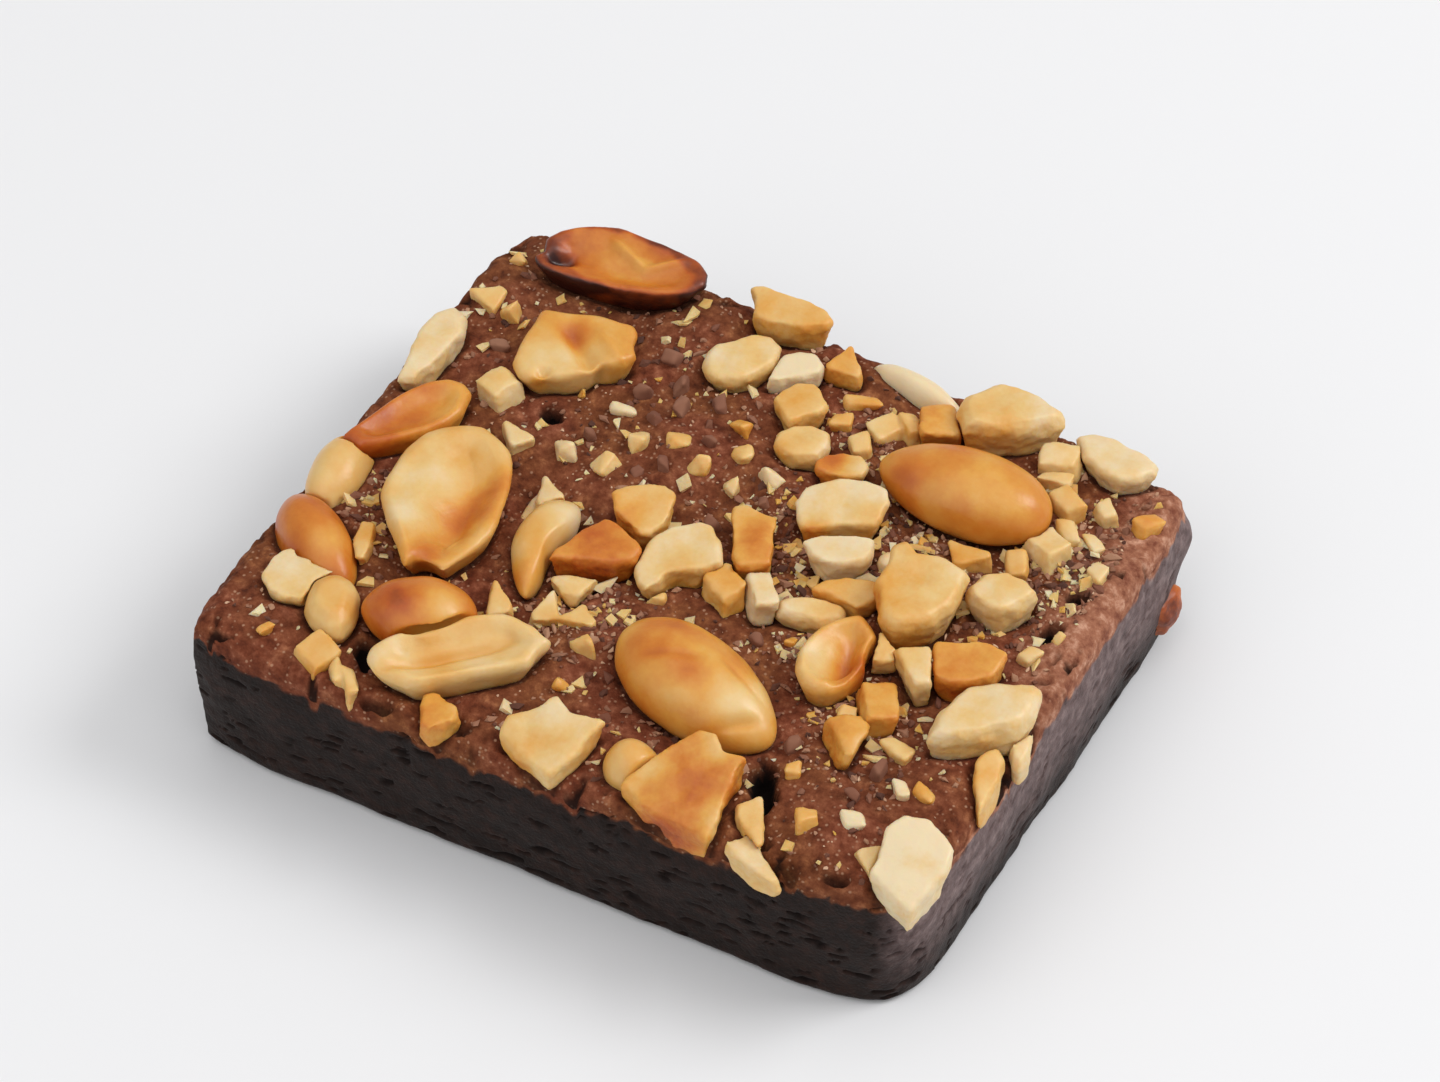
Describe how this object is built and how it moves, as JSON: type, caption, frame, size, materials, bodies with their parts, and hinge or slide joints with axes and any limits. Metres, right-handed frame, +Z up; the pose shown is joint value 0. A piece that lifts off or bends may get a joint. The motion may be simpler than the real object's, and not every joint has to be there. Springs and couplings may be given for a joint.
{
  "type": "peanut brownie",
  "caption": "Cut square of brownie with roasted peanuts, split halves and broken chips baked into its crust; a snack to serve on a plate or tray",
  "frame": {"origin": "middle of the flat underside", "axes": "+X runs along the long front edge, +Y towards the back edge, +Z up through the nut-covered crust"},
  "size_m": [0.0741, 0.0609, 0.0214],
  "materials": {
    "brownie_crust": "matte baked crust, dark porous crumb on the cut sides",
    "nut_pale": "blanched peanut, cream, slightly oily",
    "nut_golden": "roasted peanut, golden, slightly oily",
    "nut_toasted": "well roasted peanut, orange brown, glossy",
    "nut_dark": "over-roasted peanut half, caramel red-brown with a burnt rim"
  },
  "bodies": {
    "root": {"slab": "brownie_crust", "kernel_front": "nut_golden", "kernel_back": "nut_golden", "kernel_left": "nut_toasted", "dome_left": "nut_toasted", "dome_edge": "nut_golden", "dome_curl": "nut_golden", "dome_small": "nut_pale", "split_dark": "nut_dark", "split_left": "nut_pale", "split_front": "nut_pale", "split_edge": "nut_golden", "split_right": "nut_golden", "split_cup": "nut_golden", "split_groove": "nut_pale", "chunk_front": "nut_golden", "chunk_corner": "nut_pale", "chunk_triangle": "nut_toasted", "chunk_edge": "nut_pale", "chunk_rim": "nut_golden", "bit_right": "nut_golden", "sliver_front": "nut_pale", "sliver_rim": "nut_pale", "hang_upper": "nut_pale", "hang_lower": "nut_golden", "chunk_orange": "nut_toasted", "cube_middle": "nut_toasted", "chunk_flat": "nut_pale", "stick_middle": "nut_toasted", "cube_low": "nut_golden", "cube_tall": "nut_pale", "bean_middle": "nut_pale", "twin_upper": "nut_pale", "twin_lower": "nut_pale", "flake_middle": "nut_golden", "bean_flat": "nut_pale", "cap_raised": "nut_golden", "stem_raised": "nut_pale", "cube_stem": "nut_pale", "cube_under": "nut_golden", "wedge_right": "nut_toasted", "lump_right": "nut_pale", "chunk_back": "nut_golden", "chunk_back_pale": "nut_pale", "flake_back": "nut_golden", "pale_back": "nut_pale", "pale_back_small": "nut_pale", "orange_back": "nut_golden", "double_back": "nut_golden", "bean_back": "nut_golden", "two_tone_back": "nut_toasted", "strip_back": "nut_pale", "cube_back": "nut_golden", "edge_left": "nut_pale", "flake_left": "nut_pale", "rust_side": "nut_dark"}
  },
  "joints": []
}
